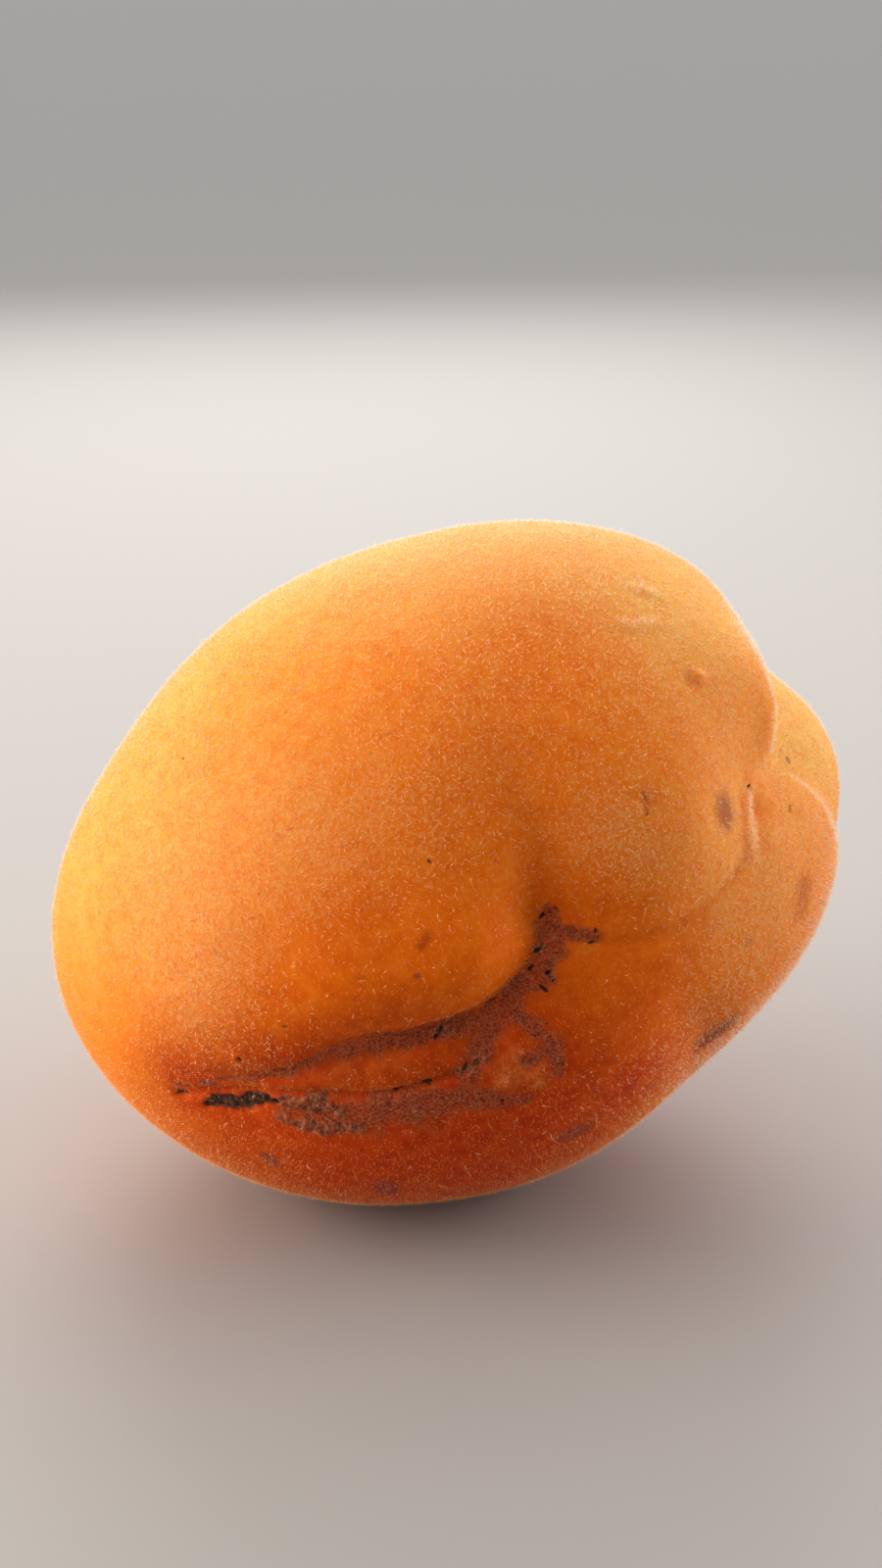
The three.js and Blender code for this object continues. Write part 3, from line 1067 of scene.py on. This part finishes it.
# What grows on the skin, or lies on it: the pieces that share it, its model, where it is and how it lies.
coats = {
    "down": {
        "pieces": 3,
        "seed": 40,
        "model": "straight",
        "on": "downy",
        "perSquareMm": 6.4,  # hairs of each piece
        "tilt": (15, 72),  # degrees from upright
        "thinnest": (0.7, 0.7, 0.12),  # the model's scale, which on a hair ends with its length in mm
        "thickest": (1.3, 1.3, 0.34),
        # orange, the skin's light seen through clear down: painted light
        "colour": "#ff9a40",
    },
    "bloom": {
        "pieces": 1,
        "seed": 50,
        "model": "straight",
        "on": "hoary",
        "perSquareMm": 10,
        "tilt": (10, 70),
        "thinnest": (0.7, 0.7, 0.14),
        "thickest": (1.5, 1.5, 0.40),
        "colour": "#ffdcac",
    },
    "tufts": {
        "pieces": 1,
        "seed": 50,
        "model": "straight",
        "on": "hoary",
        "perSquareMm": 17,
        "tilt": (35, 84),
        "thinnest": (1.1, 1.1, 0.15),
        "thickest": (2.4, 2.4, 0.42),
        "colour": "#ffc074",
    },
    "fringe": {
        "pieces": 1,
        "seed": 60,
        "model": "straight",
        "on": "fringed",
        "perSquareMm": 75,
        "tilt": (0, 60),
        "thinnest": (0.7, 0.7, 0.20),
        "thickest": (1.5, 1.5, 0.45),
        "colour": "#ffe8c4",
    },
    "loose": {
        "pieces": 1,
        "seed": 50,
        "model": "curled",
        "on": "downy",
        "perSquareMm": 0.10,
        "tilt": (20, 80),
        "thinnest": (0.6, 0.6, 0.6),
        "thickest": (1.2, 1.2, 1.2),
        "colour": "#ffdca8",
    },
    "palescurf": {
        "pieces": 1,
        "seed": 90,
        "model": "flake",
        "on": "flaky",
        "perSquareMm": 7,
        "tilt": (0, 50),
        "thinnest": (0.04, 0.03, 0.02),
        "thickest": (0.14, 0.09, 0.05),
        "colour": "#b47a62",
    },
    "darkscurf": {
        "pieces": 1,
        "seed": 90,
        "model": "flake",
        "on": "flaky",
        "perSquareMm": 4,
        "tilt": (0, 60),
        "thinnest": (0.04, 0.03, 0.02),
        "thickest": (0.13, 0.09, 0.06),
        "colour": "#40201a",
    },
}


# Plant hair is a thin dry cell that lets light through, so it glows in the colour of the light and the skin.
def makeHairMaterial(name, colour):
    material = bpy.data.materials.new(f"plant hair, {name}")
    material.use_nodes = True
    shader = material.node_tree.nodes["Principled BSDF"]
    for socket, value in {
        "Base Color": linear(colour),
        "Roughness": 0.6,
        "Specular IOR Level": 0.1,
        "Subsurface Weight": 1.0,
        "Subsurface Radius": (1.0, 1.0, 1.0),
        "Subsurface Scale": 0.03 * mm,
    }.items():
        shader.inputs[socket].default_value = value
    return material


# Down grows on sound skin only, and not where the fruit rests. Scurf lies on the dry scars.
def markDownyParts():
    height = rowsOf(skin.data.vertices, "co")[:, 2] / mm
    russet, cork, soot, sparse = kept("russet"), kept("cork"), kept("soot"), kept("sparse")
    bald = np.maximum(np.maximum(hairs["russetLoses"] * russet, cork), soot)
    downy = (1 - bald) * smoothstep(*hairs["standsAbove"], height)
    keep("downy", downy * (1 - hairs["sparseLoses"] * sparse))
    keep("hoary", downy * kept("hoary") * (1 - hairs["sparseBloomLoses"] * sparse))
    keep("flaky", np.maximum(cork, np.maximum(scurf["onSoot"] * soot, scurf["onRusset"] * russet)))


# Scatters copies of one model over the skin, more of them where the coat's attribute is higher.
def scatterTree(model, coat, seed):
    tree = bpy.data.node_groups.new("scatter", "GeometryNodeTree")
    tree.interface.new_socket("Geometry", in_out="INPUT", socket_type="NodeSocketGeometry")
    tree.interface.new_socket("Geometry", in_out="OUTPUT", socket_type="NodeSocketGeometry")
    start = addNode(tree, "NodeGroupInput")
    amount = addNode(tree, "GeometryNodeInputNamedAttribute", {"data_type": "FLOAT", "Name": coat["on"]})
    tufts = addNode(tree, "ShaderNodeTexNoise", {"Scale": 1 / hairs["tuft"], "Detail": 1})
    lowest, highest = hairs["tuftNoise"]
    fewest, densest = (share * coat["perSquareMm"] / mm**2 for share in hairs["tuftDensity"])
    density = addNode(
        tree,
        "ShaderNodeMapRange",
        {"From Min": lowest, "From Max": highest, "To Min": fewest, "To Max": densest},
        {"Value": tufts.outputs["Fac"]},
    )
    number = addNode(
        tree,
        "ShaderNodeMath",
        {"operation": "MULTIPLY"},
        {0: density.outputs[0], 1: amount.outputs[0]},
    )
    roots = addNode(
        tree,
        "GeometryNodeDistributePointsOnFaces",
        {"distribute_method": "RANDOM", "Seed": seed},
        {"Mesh": start.outputs[0], "Density": number.outputs[0]},
    )
    least, most = (math.radians(tilt) for tilt in coat["tilt"])
    lean = addNode(
        tree,
        "FunctionNodeRandomValue",
        {"data_type": "FLOAT_VECTOR", 0: (least, 0, 0), 1: (most, 0, 2 * math.pi), "Seed": seed},
    )
    turn = addNode(tree, "FunctionNodeEulerToRotation", None, {0: lean.outputs[0]})
    aimed = addNode(
        tree,
        "FunctionNodeRotateRotation",
        {"rotation_space": "LOCAL"},
        {0: roots.outputs["Rotation"], 1: turn.outputs[0]},
    )
    sizeSeed = seed + hairs["sizeSeed"]
    size = addNode(
        tree,
        "FunctionNodeRandomValue",
        {"data_type": "FLOAT_VECTOR", 0: coat["thinnest"], 1: coat["thickest"], "Seed": sizeSeed},
    )
    copied = addNode(tree, "GeometryNodeObjectInfo", {"Object": model})
    copies = addNode(
        tree,
        "GeometryNodeInstanceOnPoints",
        None,
        {
            "Points": roots.outputs["Points"],
            "Instance": copied.outputs["Geometry"],
            "Rotation": aimed.outputs[0],
            "Scale": size.outputs[0],
        },
    )
    joined = addNode(tree, "GeometryNodeRealizeInstances", None, {"Geometry": copies.outputs[0]})
    addNode(tree, "NodeGroupOutput", None, {"Geometry": joined.outputs[0]})
    return tree


# A straight hair 1 mm long, with its root just under the skin.
def straightHair():
    bpy.ops.mesh.primitive_cone_add(
        vertices=3, radius1=hairs["rootRadius"], depth=1 * mm, end_fill_type="NOTHING"
    )
    hair = bpy.context.object
    hair.data.transform(Matrix.Translation((0, 0, 0.5 * mm - hairs["rootDepth"])))
    return hair


# A hair 1 mm long that curls over: a row of rings along an arc, each smaller than the last.
def curledHair():
    bpy.ops.mesh.primitive_cylinder_add(
        vertices=3, radius=hairs["curlRadius"], depth=1 * mm, location=(0, 0, 0.5 * mm)
    )
    hair = bpy.context.object
    selectOnly(hair)
    bpy.ops.object.transform_apply(location=True, rotation=True, scale=True)
    bpy.ops.object.mode_set(mode="EDIT")
    for cut in range(1, hairs["curlStretches"]):
        bpy.ops.mesh.select_all(action="SELECT")
        bpy.ops.mesh.bisect(plane_co=(0, 0, cut / hairs["curlStretches"] * mm), plane_no=(0, 0, 1))
    bpy.ops.object.mode_set(mode="OBJECT")
    bend = math.radians(hairs["curl"])
    radius = 1 * mm / bend
    for vertex in hair.data.vertices:
        x, y, z = vertex.co
        along = z / (1 * mm)
        slim = 1 - hairs["curlTaper"] * along
        out = radius - x * slim
        angle = bend * along
        vertex.co = (radius - out * math.cos(angle), y * slim, out * math.sin(angle) - hairs["rootDepth"])
    return hair


# A chip of dry skin, 2 mm across before it is scaled.
def flake():
    bpy.ops.mesh.primitive_ico_sphere_add(subdivisions=1, radius=1 * mm)
    chip = bpy.context.object
    for vertex in chip.data.vertices:
        vertex.co *= 1 + scurf["ruggedness"] * noise.noise(vertex.co / scurf["lump"])
    return chip


# Dry skin that flakes off a scar: matt cork cells, from tan to nearly black.
def makeScurfMaterial(name, colour):
    material = bpy.data.materials.new(f"dry cork, {name}")
    material.use_nodes = True
    shader = material.node_tree.nodes["Principled BSDF"]
    shader.inputs["Base Color"].default_value = linear(colour)
    shader.inputs["Roughness"].default_value = scurf["roughness"]
    shader.inputs["Specular IOR Level"].default_value = scurf["specular"]
    return material


# The way to make each model, and the material it is of.
models = {
    "straight": (straightHair, makeHairMaterial),
    "curled": (curledHair, makeHairMaterial),
    "flake": (flake, makeScurfMaterial),
}


def growCoat(name, coat):
    makeModel, makeMaterial = models[coat["model"]]
    model = makeModel()
    model.data.materials.append(makeMaterial(name, coat["colour"]))
    for number in range(1, coat["pieces"] + 1):
        piece = bpy.data.objects.new(f"{name}_{number}", skin.data.copy())
        bpy.context.scene.collection.objects.link(piece)
        applyModifier(piece, "NODES", node_group=scatterTree(model, coat, coat["seed"] + number))
        moveCorners(piece.data, rowsOf(piece.data.vertices, "co"))
        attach(piece, "root")
        print(piece.name, "has", len(piece.data.polygons), "faces")
    bpy.data.objects.remove(model)


markDownyParts()
for name, coat in coats.items():
    growCoat(name, coat)
